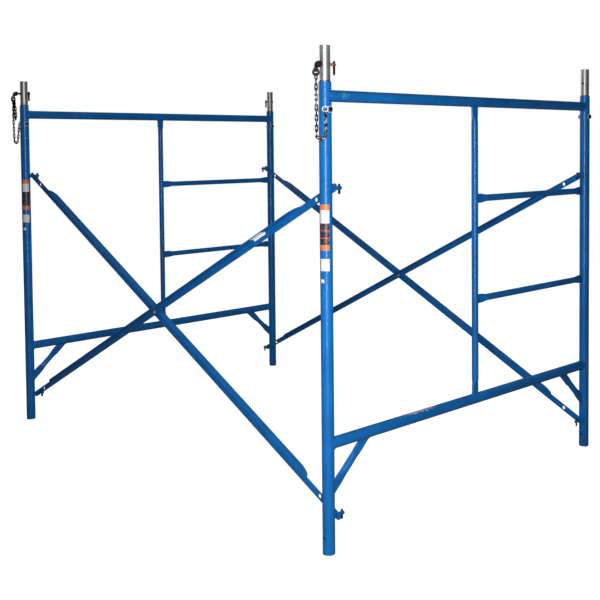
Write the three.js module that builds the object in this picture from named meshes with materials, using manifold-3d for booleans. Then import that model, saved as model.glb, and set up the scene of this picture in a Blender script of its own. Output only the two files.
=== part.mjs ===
// A section of ladder-frame scaffold: two welded end frames, joined on each side by a pair of
// cross braces that hang on studs and are held there by gravity locks.
//
// Frame of the model: +Z up from the floor under the legs, X across an end frame (five feet),
// Y from the near end frame (-Y) to the far one (+Y), along the braces (seven feet).
// Millimetres throughout. Legs are called near/far (which end frame) and left/right (-X/+X).

import * as THREE from 'three';
import { mergeVertices } from 'three/addons/utils/BufferGeometryUtils.js';
import Module from 'manifold-3d';

// ---------------------------------------------------------------- driving dimensions

const FRAME_WIDTH = 1524; // leg centre to leg centre across an end frame (5 ft)
const FRAME_SPACING = 2134; // end frame to end frame (7 ft)
const LEG_HEIGHT = 1524; // 5 ft
const GAP = 0.3; // left between touching pieces
const LEG_SIDES = 24; // facets round a leg, and round what is cut to fit it
const BAR_SIDES = 20;

const LEG_RADIUS = 20.65; // 1 5/8 in tube
const LEG_WALL = 2.4;
const BAR_RADIUS = 19.05; // 1 1/2 in tube: the top and bottom bars
const BAR_WALL = 2.2;
const TOP_BAR_Z = 1479;
const BOTTOM_BAR_Z = 358;
const UPPER_RUNG_Z = 1117;
const LOWER_RUNG_Z = 736;

const SLIM_RADIUS = 12.7; // 1 in tube: centre post, rungs and gussets
const SLIM_WALL = 2;
const PRESSED_HALF_WIDTH = 17.5; // the slim tubes are pressed flat where they meet a tube
const PRESSED_HALF_THICKNESS = 4.3;
const PRESSED_LENGTH = 24;
const PRESSED_TAPER = 38;
const GUSSET_LEG_Z = 210; // height at which a gusset meets its leg
const GUSSET_REACH = 165; // from the leg's axis, where it meets the bottom bar

const COUPLING_RADIUS = 17.45; // 1 3/8 in tube standing in the top of each leg
const COUPLING_WALL = 2.6;
const COUPLING_ABOVE = 114;
const COUPLING_BELOW = 118;
const COUPLING_BOLT_Z = 1435;
const CROSS_HOLE_RADIUS = 5.25; // toggle pin hole in the coupling, and its mate in the leg's foot
const CROSS_HOLE_OFFSET = 55; // from the shoulder of the leg, up on the coupling and up in the foot
const BOLT_RADIUS = 4;
const BOLT_HOLE_RADIUS = 4.75;
const BOLT_HEAD_RADIUS = 7.4; // across the hexagon's corners
const BOLT_HEAD_HEIGHT = 8;

const STUD_LOW_Z = 117;
const STUD_HIGH_Z = 1184; // 42 in above the low stud
const STUD_RADIUS = 6.35; // 1/2 in
const STUD_BOSS_RADIUS = 10;
const STUD_LENGTH = 46; // from the leg's face to the tip
const LOCK_PIVOT = 38; // lock pivot, from the leg's face
const LOCK_SLOT_START = 22.5;
const SLOT_HALF_WIDTH = 1.7;
const LOCK_HALF_WIDTH = 4.5;
const LOCK_HALF_THICKNESS = 1.3;
const LOCK_ABOVE = 14;
const LOCK_BELOW = 20.5;
const LOCK_PIVOT_RADIUS = 1.9;
const LOCK_PIVOT_HOLE = 2.3;

const BRACE_FLAT = 26; // legs of the brace's steel angle
const BRACE_FLANGE = 26;
const BRACE_THICKNESS = 3.2;
const BRACE_SEAT = 10; // face of the outer brace, from the leg's face
const BRACE_HOLE_RADIUS = 7.15;
const BRACE_SPARE_HOLE = 90; // second hole, from the stud's hole
const BRACE_END = 19; // bar end beyond the stud's hole
const COPE_START = 170; // the flange is cut away this far from the stud's hole
const COPE_LENGTH = 52;
const RIVET_RADIUS = 4;
const RIVET_HOLE_RADIUS = 4.35;
const RIVET_HEAD_RADIUS = 7.5;
const RIVET_HEAD_HEIGHT = 3.2;

const TOGGLE_RADIUS = 4.7; // shank of a toggle pin
const TOGGLE_COLLAR_RADIUS = 8.5;
const TOGGLE_COLLAR_LENGTH = 9.5;
const TOGGLE_LEVER_PIVOT = 40.5; // from the coupling's axis, with the pin pushed home
const TOGGLE_TIP = 46;
const TOGGLE_SLOT_START = 25.5;
const TOGGLE_LEVER_ABOVE = 12;
const TOGGLE_LEVER_BELOW = 36;
const TOGGLE_EYE = new THREE.Vector2(-38, -17); // eye of the head, from the coupling's axis
const TOGGLE_EYE_RADIUS = 7.5;
const TOGGLE_EYE_HOLE = 3.6;
const TOGGLE_LUG_HALF_THICKNESS = 2.5;
const FAR_TOGGLE_PULLED = 15.5; // the far left pin stands pulled out till its lever nearly bears
const PLAIN_TOGGLE_PIVOT = 30; // the far right pin is shorter, with a plain button head
const PLAIN_TOGGLE_TIP = 35.5;
const PLAIN_TOGGLE_SLOT_START = 16;
const PLAIN_TOGGLE_HEAD_LENGTH = 4.4;
const PLAIN_TOGGLE_HEAD_RADIUS = 8;

const RING_RADIUS = 8.4; // split ring that ties the chain to the toggle pin
const RING_WIRE = 1.4;
const CHAIN_RADIUS = 4.6; // outline of the chain's links

// The heads of the far pins reach furthest out on each side. The origin is midway between them.
const LEFT_REACH = -TOGGLE_EYE.x + TOGGLE_EYE_RADIUS + FAR_TOGGLE_PULLED;
const RIGHT_REACH = COUPLING_RADIUS + GAP + PLAIN_TOGGLE_HEAD_LENGTH;
const ORIGIN_SHIFT = (LEFT_REACH - RIGHT_REACH) / 2;

const LEFT = -1;
const RIGHT = 1;
const NEAR = -1;
const FAR = 1;
const HALF_WIDTH = FRAME_WIDTH / 2;
const HALF_SPACING = FRAME_SPACING / 2;

// ---------------------------------------------------------------- materials

const BLUE_PAINT = { color: 0x1a66b8, roughness: 0.35, metalness: 0.1 };
const ZINC = { color: 0xb9bcc0, roughness: 0.35, metalness: 0.9 };
const BOLT_STEEL = { color: 0x8f9092, roughness: 0.4, metalness: 0.9 };
const DARK_STEEL = { color: 0x2e2622, roughness: 0.7, metalness: 0.6 };
const CHAIN_STEEL = { color: 0x8a8279, roughness: 0.5, metalness: 0.9 };

// ---------------------------------------------------------------- solids

const wasm = await Module();
wasm.setup();

/** A closed geometry as a solid that can be joined or cut. */
function toSolid(geometry) {
  const plain = geometry.clone();
  plain.deleteAttribute('normal');
  plain.deleteAttribute('uv');
  const merged = mergeVertices(plain, 1e-4);
  return new wasm.Manifold(new wasm.Mesh({
    numProp: 3,
    vertProperties: new Float32Array(merged.attributes.position.array),
    triVerts: new Uint32Array(merged.index.array),
  }));
}

/** A solid as a geometry with flat faces. */
function toGeometry(solid) {
  const mesh = solid.getMesh();
  const geometry = new THREE.BufferGeometry();
  geometry.setAttribute('position', new THREE.BufferAttribute(mesh.vertProperties, 3));
  geometry.setIndex(new THREE.BufferAttribute(mesh.triVerts, 1));
  geometry.computeVertexNormals();
  return geometry;
}

/** The first geometry with all the others joined to it. */
function join(first, ...others) {
  return toGeometry(others.reduce((sum, other) => sum.add(toSolid(other)), toSolid(first)));
}

/** The first geometry with all the others cut out of it. */
function cut(first, ...others) {
  return toGeometry(others.reduce((left, other) => left.subtract(toSolid(other)), toSolid(first)));
}

/** A round rod about the Z axis, from one height to another. */
function rodZ(radius, from, to, sides = 14) {
  const rod = new THREE.CylinderGeometry(radius, radius, to - from, sides);
  return rod.rotateX(Math.PI / 2).translate(0, 0, (from + to) / 2);
}

/** A round rod about the X axis. */
function rodX(radius, from, to, sides = 14) {
  return rodZ(radius, from, to, sides).rotateY(Math.PI / 2);
}

/** A round rod about the Y axis. */
function rodY(radius, from, to, sides = 14) {
  const rod = new THREE.CylinderGeometry(radius, radius, to - from, sides);
  return rod.translate(0, (from + to) / 2, 0);
}

/** A box from one corner to the opposite one. */
function box(low, high) {
  const size = new THREE.Vector3().subVectors(high, low);
  const middle = new THREE.Vector3().addVectors(low, high).multiplyScalar(0.5);
  return new THREE.BoxGeometry(size.x, size.y, size.z).translate(middle.x, middle.y, middle.z);
}

/** A solid turned about the Z axis from a list of [radius, height] pairs. */
function turnedZ(profile, sides) {
  const points = profile.map(([radius, height]) => new THREE.Vector2(radius, height));
  return new THREE.LatheGeometry(points, sides).rotateX(Math.PI / 2);
}

/** An open-ended tube about the Z axis. */
function tubeZ(radius, wall, from, to, sides = LEG_SIDES) {
  const inner = radius - wall;
  return turnedZ([[inner, from], [radius, from], [radius, to], [inner, to], [inner, from]], sides);
}

/**
 * A rod about the Z axis whose two ends are pressed flat: wide along X and thin along Y.
 * The pressed stretch blends into the round one over PRESSED_TAPER.
 */
function pressedRodZ(radius, halfWidth, halfThickness, length) {
  const blendSteps = [0, 0.5, 1];
  const nearEnd = blendSteps.map((step) => PRESSED_LENGTH + step * PRESSED_TAPER);
  const farEnd = nearEnd.map((height) => length - height).reverse();
  const heights = [0, ...nearEnd, ...farEnd, length];
  const profile = [[0, 0], ...heights.map((height) => [radius, height]), [0, length]];
  const rod = turnedZ(profile, 16);
  const position = rod.attributes.position;
  for (let i = 0; i < position.count; i += 1) {
    const fromEnd = Math.min(position.getZ(i), length - position.getZ(i));
    const pressed = 1 - THREE.MathUtils.smoothstep(fromEnd, PRESSED_LENGTH, PRESSED_LENGTH + PRESSED_TAPER);
    position.setX(i, position.getX(i) * THREE.MathUtils.lerp(1, halfWidth / radius, pressed));
    position.setY(i, position.getY(i) * THREE.MathUtils.lerp(1, halfThickness / radius, pressed));
  }
  return rod;
}

/** The slim tube: round, hollow, and pressed flat at both ends. */
function slimTubeZ(length) {
  const outside = pressedRodZ(SLIM_RADIUS, PRESSED_HALF_WIDTH, PRESSED_HALF_THICKNESS, length);
  const inside = pressedRodZ(
    SLIM_RADIUS - SLIM_WALL,
    PRESSED_HALF_WIDTH - SLIM_WALL,
    PRESSED_HALF_THICKNESS - SLIM_WALL,
    length + 2,
  );
  return cut(outside, inside.translate(0, 0, -1));
}

/** A flat bar with round ends in the XZ plane, hanging from its pivot at the origin. */
function hangingBar(above, below, halfWidth, halfThickness) {
  const outline = new THREE.Shape();
  outline.absarc(0, above - halfWidth, halfWidth, 0, Math.PI, false);
  outline.absarc(0, halfWidth - below, halfWidth, Math.PI, 2 * Math.PI, false);
  const bar = new THREE.ExtrudeGeometry(outline, {
    depth: 2 * halfThickness,
    bevelEnabled: false,
    curveSegments: 4,
  });
  return bar.rotateX(Math.PI / 2).translate(0, halfThickness, 0);
}

// ---------------------------------------------------------------- the group

const scaffold = new THREE.Group();

/** Adds one piece, named and coloured, at its place. */
function addPiece(name, geometry, look, x = 0, y = 0, z = 0) {
  const mesh = new THREE.Mesh(geometry, new THREE.MeshStandardMaterial(look));
  mesh.name = name;
  mesh.position.set(x, y, z);
  scaffold.add(mesh);
  return mesh;
}

const sideName = (side) => (side === LEFT ? 'left' : 'right');
const endName = (end) => (end === NEAR ? 'near' : 'far');
const legName = (end, side) => `${endName(end)}_${sideName(side)}`;

// ---------------------------------------------------------------- end frames

/** A leg: open tube, drilled for the coupling's bolt and, in its foot, for a toggle pin. */
function legGeometry() {
  const reach = LEG_RADIUS + 5;
  return cut(
    tubeZ(LEG_RADIUS, LEG_WALL, 0, LEG_HEIGHT),
    rodY(BOLT_HOLE_RADIUS, -reach, reach, 8).translate(0, 0, COUPLING_BOLT_Z),
    rodX(CROSS_HOLE_RADIUS, -reach, reach, 8).translate(0, 0, CROSS_HOLE_OFFSET),
  );
}

/** A bar of the end frame from leg to leg, its ends cut to fit round the legs. */
function barGeometry() {
  const start = -HALF_WIDTH + 5;
  const bar = tubeZ(BAR_RADIUS, BAR_WALL, start, -start, BAR_SIDES).rotateY(Math.PI / 2);
  const legs = [LEFT, RIGHT].map((side) => (
    rodZ(LEG_RADIUS + GAP, -40, 40, LEG_SIDES).translate(side * HALF_WIDTH, 0, 0)
  ));
  return cut(bar, ...legs);
}

/** The post halfway along the end frame, between its two bars. */
function postGeometry() {
  const length = TOP_BAR_Z - BOTTOM_BAR_Z;
  const ends = [0, length].map((height) => (
    rodX(BAR_RADIUS + GAP, -40, 40, BAR_SIDES).translate(0, 0, height)
  ));
  return cut(slimTubeZ(length), ...ends);
}

/** A rung from the post at x = 0 to the right leg, its pressed ends standing upright. */
function rungGeometry() {
  const rung = slimTubeZ(HALF_WIDTH).rotateY(Math.PI / 2);
  return cut(
    rung,
    rodZ(SLIM_RADIUS + GAP, -40, 40, 16),
    rodZ(LEG_RADIUS + GAP, -40, 40, LEG_SIDES).translate(HALF_WIDTH, 0, 0),
  );
}

/** A gusset from the leg at x = 0 up to the bottom bar, for the leg on the left of a frame. */
function gussetGeometry() {
  const foot = new THREE.Vector3(0, 0, GUSSET_LEG_Z - LEG_RADIUS);
  const head = new THREE.Vector3(GUSSET_REACH + BAR_RADIUS, 0, BOTTOM_BAR_Z);
  const along = new THREE.Vector3().subVectors(head, foot);
  const gusset = slimTubeZ(along.length());
  gusset.rotateY(Math.atan2(along.x, along.z)).translate(foot.x, foot.y, foot.z);
  return cut(
    gusset,
    rodZ(LEG_RADIUS + GAP, 0, LEG_HEIGHT / 2, LEG_SIDES),
    rodX(BAR_RADIUS + GAP, -HALF_WIDTH, HALF_WIDTH, BAR_SIDES).translate(0, 0, BOTTOM_BAR_Z),
  );
}

function addEndFrame(end) {
  const y = end * HALF_SPACING;
  const prefix = endName(end);
  for (const side of [LEFT, RIGHT]) {
    addPiece(`leg_${legName(end, side)}`, legGeometry(), BLUE_PAINT, side * HALF_WIDTH, y);
    const gusset = side === LEFT ? gussetGeometry() : gussetGeometry().rotateZ(Math.PI);
    addPiece(`gusset_${legName(end, side)}`, gusset, BLUE_PAINT, side * HALF_WIDTH, y);
  }
  addPiece(`top_bar_${prefix}`, barGeometry(), BLUE_PAINT, 0, y, TOP_BAR_Z);
  addPiece(`bottom_bar_${prefix}`, barGeometry(), BLUE_PAINT, 0, y, BOTTOM_BAR_Z);
  addPiece(`centre_post_${prefix}`, postGeometry(), BLUE_PAINT, 0, y, BOTTOM_BAR_Z);
  addPiece(`upper_rung_${prefix}`, rungGeometry(), BLUE_PAINT, 0, y, UPPER_RUNG_Z);
  addPiece(`lower_rung_${prefix}`, rungGeometry(), BLUE_PAINT, 0, y, LOWER_RUNG_Z);
}

// ---------------------------------------------------------------- coupling pins and their bolts

function couplingGeometry() {
  const reach = COUPLING_RADIUS + 5;
  return cut(
    tubeZ(COUPLING_RADIUS, COUPLING_WALL, -COUPLING_BELOW, COUPLING_ABOVE, 20),
    rodY(BOLT_HOLE_RADIUS, -reach, reach, 8).translate(0, 0, COUPLING_BOLT_Z - LEG_HEIGHT),
    rodX(CROSS_HOLE_RADIUS, -reach, reach, 8).translate(0, 0, CROSS_HOLE_OFFSET),
  );
}

/** The bolt through leg and coupling, with its nut screwed on. */
function boltGeometry() {
  const face = LEG_RADIUS + GAP;
  const tip = face + BOLT_HEAD_HEIGHT;
  return join(
    rodY(BOLT_RADIUS, -face - 1, face + 1, 10),
    rodY(BOLT_HEAD_RADIUS, -tip, -face, 6),
    rodY(BOLT_HEAD_RADIUS, face, tip, 6),
  );
}

function addCoupling(end, side) {
  const x = side * HALF_WIDTH;
  const y = end * HALF_SPACING;
  addPiece(`coupling_pin_${legName(end, side)}`, couplingGeometry(), ZINC, x, y, LEG_HEIGHT);
  addPiece(`coupling_bolt_${legName(end, side)}`, boltGeometry(), BOLT_STEEL, x, y, COUPLING_BOLT_Z);
}

// ---------------------------------------------------------------- studs and gravity locks

/** A stud for the left leg, pointing along +X from the leg's axis, slotted for its lock. */
function studGeometry() {
  const face = LEG_RADIUS;
  const tip = face + STUD_LENGTH;
  const profile = [
    [0, 0],
    [STUD_BOSS_RADIUS, 0],
    [STUD_BOSS_RADIUS, face + 3],
    [STUD_RADIUS, face + 8],
    [STUD_RADIUS, tip - 1.5],
    [STUD_RADIUS - 1.5, tip],
    [0, tip],
  ];
  const slotLow = new THREE.Vector3(face + LOCK_SLOT_START, -SLOT_HALF_WIDTH, -20);
  const slotHigh = new THREE.Vector3(tip + 5, SLOT_HALF_WIDTH, 20);
  return cut(
    turnedZ(profile, 14).rotateY(Math.PI / 2),
    rodZ(LEG_RADIUS + GAP, -20, 20, LEG_SIDES),
    box(slotLow, slotHigh),
    rodY(LOCK_PIVOT_HOLE, -10, 10, 8).translate(face + LOCK_PIVOT, 0, 0),
  );
}

/** A gravity lock with its pivot rivet, flush with the stud's sides. */
function lockGeometry() {
  const flush = Math.sqrt(STUD_RADIUS ** 2 - LOCK_PIVOT_RADIUS ** 2) - 0.2;
  return join(
    hangingBar(LOCK_ABOVE, LOCK_BELOW, LOCK_HALF_WIDTH, LOCK_HALF_THICKNESS),
    rodY(LOCK_PIVOT_RADIUS, -flush, flush, 8),
  );
}

function addStud(end, side, level, height) {
  const y = end * HALF_SPACING;
  const name = `${level}_${legName(end, side)}`;
  const stud = side === LEFT ? studGeometry() : studGeometry().rotateZ(Math.PI);
  addPiece(`stud_${name}`, stud, BLUE_PAINT, side * HALF_WIDTH, y, height);
  const pivot = side * (HALF_WIDTH - LEG_RADIUS - LOCK_PIVOT);
  addPiece(`lock_${name}`, lockGeometry(), DARK_STEEL, pivot, y, height);
}

// ---------------------------------------------------------------- cross braces

const BRACE_LENGTH = Math.hypot(FRAME_SPACING, STUD_HIGH_Z - STUD_LOW_Z);
const BRACE_SLOPE = Math.atan2(STUD_HIGH_Z - STUD_LOW_Z, FRAME_SPACING);

/** The bar's flat side: length along X, width along Y, with its round ends and its holes. */
function braceFlat() {
  const half = BRACE_LENGTH / 2;
  const round = BRACE_FLAT / 2;
  const endCentre = half + BRACE_END - round;
  const outline = new THREE.Shape();
  outline.absarc(endCentre, 0, round, -Math.PI / 2, Math.PI / 2, false);
  outline.absarc(-endCentre, 0, round, Math.PI / 2, 1.5 * Math.PI, false);
  const holes = [half, half - BRACE_SPARE_HOLE, -half, BRACE_SPARE_HOLE - half];
  for (const x of holes) {
    outline.holes.push(new THREE.Path().absarc(x, 0, BRACE_HOLE_RADIUS, 0, 2 * Math.PI, true));
  }
  outline.holes.push(new THREE.Path().absarc(0, 0, RIVET_HOLE_RADIUS, 0, 2 * Math.PI, true));
  return new THREE.ExtrudeGeometry(outline, {
    depth: BRACE_THICKNESS,
    bevelEnabled: false,
    curveSegments: 6,
  });
}

/** The bar's standing flange, in plan: full depth in the middle and coped away at both ends. */
function braceFlange() {
  const start = BRACE_LENGTH / 2 - COPE_START;
  const full = start - COPE_LENGTH;
  const outline = new THREE.Shape();
  outline.moveTo(-start, 0);
  outline.lineTo(start, 0);
  outline.quadraticCurveTo(start - 8, BRACE_FLANGE * 0.75, full, BRACE_FLANGE);
  outline.lineTo(-full, BRACE_FLANGE);
  outline.quadraticCurveTo(8 - start, BRACE_FLANGE * 0.75, -start, 0);
  return new THREE.ExtrudeGeometry(outline, {
    depth: BRACE_THICKNESS,
    bevelEnabled: false,
    curveSegments: 4,
  });
}

/**
 * One brace bar: a steel angle whose flat lies in the YZ plane at x = 0..BRACE_THICKNESS and
 * whose flange stands out from its top edge towards +X. The bar runs along Y.
 */
function braceGeometry() {
  const flat = braceFlat().rotateX(Math.PI / 2).rotateZ(Math.PI / 2);
  const flange = braceFlange().rotateZ(-Math.PI / 2);
  flange.translate(0, 0, BRACE_FLAT / 2 - BRACE_THICKNESS);
  return join(flat, flange);
}

/** The rivet that ties the two bars of a pair together at their middles. */
function rivetGeometry() {
  const inner = BRACE_THICKNESS + GAP / 2 + GAP;
  const dome = [[0, 0], [RIVET_HEAD_RADIUS, 0], [RIVET_HEAD_RADIUS * 0.8, 2], [0, RIVET_HEAD_HEIGHT]];
  const head = turnedZ(dome, 12).translate(0, 0, inner);
  return join(
    rodZ(RIVET_RADIUS, -inner - 0.5, inner + 0.5, 12),
    head,
    head.clone().rotateX(Math.PI),
  ).rotateY(Math.PI / 2);
}

/**
 * The pair of braces on one side. The outer bar of the pair sits next to the legs with its
 * flange turned outwards, the inner one turns its flange inwards, and they lie flat to flat.
 */
function addBraces(side) {
  const name = sideName(side);
  const middleZ = (STUD_HIGH_Z + STUD_LOW_Z) / 2;
  const pair = new THREE.Group();
  pair.position.set(side * (HALF_WIDTH - LEG_RADIUS), 0, middleZ);
  pair.rotation.z = side === LEFT ? 0 : Math.PI;
  scaffold.add(pair);

  const outer = addPiece(`brace_outer_${name}`, braceGeometry().rotateZ(Math.PI), BLUE_PAINT);
  outer.position.x = BRACE_SEAT + BRACE_THICKNESS;
  outer.rotation.x = -BRACE_SLOPE;
  const inner = addPiece(`brace_inner_${name}`, braceGeometry(), BLUE_PAINT);
  inner.position.x = BRACE_SEAT + BRACE_THICKNESS + GAP;
  inner.rotation.x = BRACE_SLOPE;
  const rivet = addPiece(`brace_rivet_${name}`, rivetGeometry(), ZINC);
  rivet.position.x = BRACE_SEAT + BRACE_THICKNESS + GAP / 2;
  pair.add(outer, inner, rivet);
}

// ---------------------------------------------------------------- toggle pins, rings and chains

/** The slot in a toggle pin's tip, with the hole for its lever's pivot. */
function toggleSlot(slotStart, pivot, tip) {
  return [
    box(
      new THREE.Vector3(slotStart, -SLOT_HALF_WIDTH, -10),
      new THREE.Vector3(tip + 5, SLOT_HALF_WIDTH, 10),
    ),
    rodY(LOCK_PIVOT_HOLE, -10, 10, 8).translate(pivot, 0, 0),
  ];
}

/** The toggle pin with a collar and an eye on its outer end, pointing along +X. */
function togglePinGeometry() {
  const seat = -COUPLING_RADIUS - GAP;
  const collarEnd = seat - TOGGLE_COLLAR_LENGTH;
  const lug = new THREE.Shape();
  lug.moveTo(seat - 3, TOGGLE_COLLAR_RADIUS - 1);
  lug.lineTo(collarEnd - 2, TOGGLE_COLLAR_RADIUS - 2);
  lug.absarc(TOGGLE_EYE.x, TOGGLE_EYE.y, TOGGLE_EYE_RADIUS, Math.PI * 0.85, Math.PI * 1.75, false);
  lug.lineTo(seat - 3, -TOGGLE_COLLAR_RADIUS + 1);
  lug.holes.push(new THREE.Path().absarc(TOGGLE_EYE.x, TOGGLE_EYE.y, TOGGLE_EYE_HOLE, 0, 2 * Math.PI, true));
  const plate = new THREE.ExtrudeGeometry(lug, {
    depth: 2 * TOGGLE_LUG_HALF_THICKNESS,
    bevelEnabled: false,
    curveSegments: 5,
  });
  plate.rotateX(Math.PI / 2).translate(0, TOGGLE_LUG_HALF_THICKNESS, 0);
  const solid = join(
    rodX(TOGGLE_RADIUS, seat - 1, TOGGLE_TIP, 14),
    rodX(TOGGLE_COLLAR_RADIUS, collarEnd, seat, 6),
    plate,
  );
  return cut(solid, ...toggleSlot(TOGGLE_SLOT_START, TOGGLE_LEVER_PIVOT, TOGGLE_TIP));
}

/** The shorter toggle pin with a plain button head, pointing along +X. */
function plainTogglePinGeometry() {
  const seat = -COUPLING_RADIUS - GAP;
  const solid = join(
    rodX(TOGGLE_RADIUS, seat - 1, PLAIN_TOGGLE_TIP, 14),
    rodX(PLAIN_TOGGLE_HEAD_RADIUS, seat - PLAIN_TOGGLE_HEAD_LENGTH, seat, 14),
  );
  return cut(solid, ...toggleSlot(PLAIN_TOGGLE_SLOT_START, PLAIN_TOGGLE_PIVOT, PLAIN_TOGGLE_TIP));
}

/** The lever that swings in a toggle pin's tip, with its pivot. */
function toggleLeverGeometry() {
  const flush = Math.sqrt(TOGGLE_RADIUS ** 2 - LOCK_PIVOT_RADIUS ** 2) - 0.2;
  return join(
    hangingBar(TOGGLE_LEVER_ABOVE, TOGGLE_LEVER_BELOW, LOCK_HALF_WIDTH - 0.3, LOCK_HALF_THICKNESS),
    rodY(LOCK_PIVOT_RADIUS, -flush, flush, 8),
  );
}

/** The ring through a toggle pin's eye, hanging in the YZ plane below the eye. */
function ringGeometry() {
  return new THREE.TorusGeometry(RING_RADIUS, RING_WIRE, 6, 16).rotateY(Math.PI / 2);
}

/** A chain's outline: a plain tube along its route. */
function chainGeometry(route) {
  const curve = new THREE.CatmullRomCurve3(route.map(([x, y, z]) => new THREE.Vector3(x, y, z)));
  const section = new THREE.Shape();
  section.absarc(0, 0, CHAIN_RADIUS, 0, 2 * Math.PI, false);
  return new THREE.ExtrudeGeometry(section, { steps: 26, extrudePath: curve, curveSegments: 4 });
}

// Each chain hangs from its ring, loops below the top bar and comes back up to the coupling's
// bolt. The routes are measured from the leg's axis and from the floor.
const NEAR_CHAIN_ROUTE = [
  [-38, 0, 1540],
  [-39, -1, 1490],
  [-39, -3, 1430],
  [-37, -7, 1375],
  [-32, -12, 1346],
  [-26, -16.5, 1343],
  [-20, -20, 1362],
  [-15, -23, 1400],
  [-13, -24, 1429],
];
const FAR_CHAIN_ROUTE = [
  [-54, 0, 1540],
  [-54, 1, 1500],
  [-52, 4, 1430],
  [-47, 9, 1370],
  [-41, 14, 1344],
  [-34, 18, 1346],
  [-27, 21, 1375],
  [-18, 23, 1410],
  [-13, 24, 1429],
];

function addToggle(end, pulled, route) {
  const x = -HALF_WIDTH - pulled;
  const y = end * HALF_SPACING;
  const z = LEG_HEIGHT + CROSS_HOLE_OFFSET;
  const name = legName(end, LEFT);
  addPiece(`toggle_pin_${name}`, togglePinGeometry(), DARK_STEEL, x, y, z);
  addPiece(`toggle_lever_${name}`, toggleLeverGeometry(), DARK_STEEL, x + TOGGLE_LEVER_PIVOT, y, z);
  const ringZ = z + TOGGLE_EYE.y - RING_RADIUS;
  addPiece(`chain_ring_${name}`, ringGeometry(), CHAIN_STEEL, x + TOGGLE_EYE.x, y, ringZ);
  addPiece(`chain_${name}`, chainGeometry(route), CHAIN_STEEL, -HALF_WIDTH, y);
}

function addPlainToggle() {
  const y = HALF_SPACING;
  const z = LEG_HEIGHT + CROSS_HOLE_OFFSET;
  const name = legName(FAR, RIGHT);
  const pin = plainTogglePinGeometry().rotateZ(Math.PI);
  addPiece(`toggle_pin_${name}`, pin, DARK_STEEL, HALF_WIDTH, y, z);
  const leverX = HALF_WIDTH - PLAIN_TOGGLE_PIVOT;
  addPiece(`toggle_lever_${name}`, toggleLeverGeometry(), DARK_STEEL, leverX, y, z);
}

// ---------------------------------------------------------------- the assembly

for (const end of [NEAR, FAR]) {
  addEndFrame(end);
  for (const side of [LEFT, RIGHT]) {
    addCoupling(end, side);
    addStud(end, side, 'upper', STUD_HIGH_Z);
    addStud(end, side, 'lower', STUD_LOW_Z);
  }
}
addBraces(LEFT);
addBraces(RIGHT);
addToggle(NEAR, 0, NEAR_CHAIN_ROUTE);
addToggle(FAR, FAR_TOGGLE_PULLED, FAR_CHAIN_ROUTE);
addPlainToggle();
scaffold.position.x = ORIGIN_SHIFT;

export default scaffold;
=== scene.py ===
"""Looks of a ladder-frame scaffold section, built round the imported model. Metres, +Z up."""

import math

import bmesh
import bpy
import numpy as np
from mathutils import Matrix, Vector


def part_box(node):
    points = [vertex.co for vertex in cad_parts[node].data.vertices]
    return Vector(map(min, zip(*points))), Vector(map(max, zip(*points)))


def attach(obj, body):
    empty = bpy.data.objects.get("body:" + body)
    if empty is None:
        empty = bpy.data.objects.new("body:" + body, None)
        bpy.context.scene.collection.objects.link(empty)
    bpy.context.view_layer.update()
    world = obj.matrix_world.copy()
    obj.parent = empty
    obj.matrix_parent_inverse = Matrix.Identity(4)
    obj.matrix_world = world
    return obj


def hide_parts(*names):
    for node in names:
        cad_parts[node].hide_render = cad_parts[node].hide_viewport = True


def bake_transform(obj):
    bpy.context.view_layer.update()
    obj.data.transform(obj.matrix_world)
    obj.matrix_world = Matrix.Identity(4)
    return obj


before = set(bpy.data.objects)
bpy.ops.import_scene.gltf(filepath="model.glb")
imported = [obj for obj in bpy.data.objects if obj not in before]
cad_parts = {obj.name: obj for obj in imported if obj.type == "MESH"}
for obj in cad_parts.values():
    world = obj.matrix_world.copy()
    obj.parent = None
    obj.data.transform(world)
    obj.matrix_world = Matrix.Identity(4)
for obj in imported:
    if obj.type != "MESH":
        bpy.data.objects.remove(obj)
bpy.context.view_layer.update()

# ---- sizes, in metres

MM = 0.001
LEG_RADIUS = 20.65 * MM
LEG_WALL = 2.4 * MM
BAR_RADIUS = 19.05 * MM
BAR_WALL = 2.2 * MM
SLIM_RADIUS = 12.7 * MM
SLIM_WALL = 2.0 * MM
PRESSED_HALF_WIDTH = 17.5 * MM
PRESSED_HALF_THICKNESS = 4.3 * MM
PRESSED_LENGTH = 22 * MM
PRESSED_TAPER = 38 * MM
PRESSED_STEPS = (0.0, 0.15, 0.35, 0.5, 0.65, 0.85, 1.0)
END_GAP = 2 * MM
BAR_SIZES = (BAR_RADIUS, BAR_RADIUS, BAR_RADIUS)
SLIM_SIZES = (SLIM_RADIUS, PRESSED_HALF_WIDTH, PRESSED_HALF_THICKNESS)
COUPLING_RADIUS = 17.45 * MM
COUPLING_WALL = 2.6 * MM
LEG_HEIGHT = 1524 * MM
COUPLING_BOLT_Z = 1435 * MM
CROSS_HOLE_RADIUS = 5.25 * MM
CROSS_HOLE_OFFSET = 55 * MM
TOGGLE_Z = LEG_HEIGHT + CROSS_HOLE_OFFSET
BOLT_HEAD_HEIGHT = 8 * MM
BOLT_HOLE_RADIUS = 4.6 * MM
BOLT_SHANK_RADIUS = 4 * MM
BOLT_CORNER_RADIUS = 9 * MM
WASHER_RADIUS = 11.2 * MM
EYELET_RADIUS = 8.6 * MM
EYELET_WIRE = 2.3 * MM
BAR_WELD = 3.3 * MM
SLIM_WELD = 2.6 * MM
SLOT_HALF_WIDTH = 1.7 * MM
GUSSET_LEG_Z = 210 * MM
GUSSET_REACH = 165 * MM
STUD_LENGTH = 46 * MM
STUD_RADIUS = 6.35 * MM
STUD_SLOT = 22.5 * MM
LOCK_PIVOT = 38 * MM
BRACE_FLAT = 26 * MM
BRACE_FLANGE = 26 * MM
BRACE_THICKNESS = 3.2 * MM
BRACE_ROOT = 2.4 * MM
BRACE_SEAT = 10 * MM
BRACE_HOLE_RADIUS = 7.15 * MM
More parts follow.
